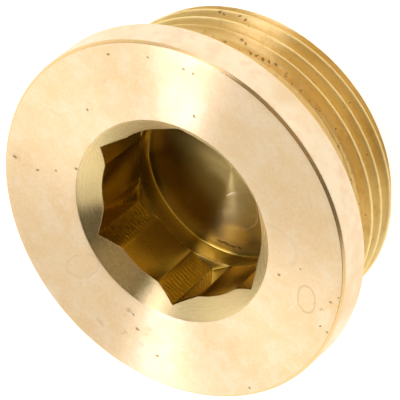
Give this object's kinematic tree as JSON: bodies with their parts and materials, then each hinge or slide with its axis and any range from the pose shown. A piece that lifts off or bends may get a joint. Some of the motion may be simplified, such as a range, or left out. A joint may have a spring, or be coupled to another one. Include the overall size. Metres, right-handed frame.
{
  "type": "brass pipe plug",
  "caption": "Turned brass screw-in pipe plug with a round collar, an inside hexagon socket and a parallel pipe thread.",
  "frame": {"origin": "on the plug's axis, at the flat threaded end that it stands on", "axes": "+Z along the plug's axis, out of the collar's face; +Y towards the crest of the thread that crest_height gives"},
  "size_m": [0.049, 0.049, 0.021],
  "materials": {
    "brass": "turned, bare metal"
  },
  "bodies": {
    "root": {"plug": "brass"}
  },
  "joints": []
}
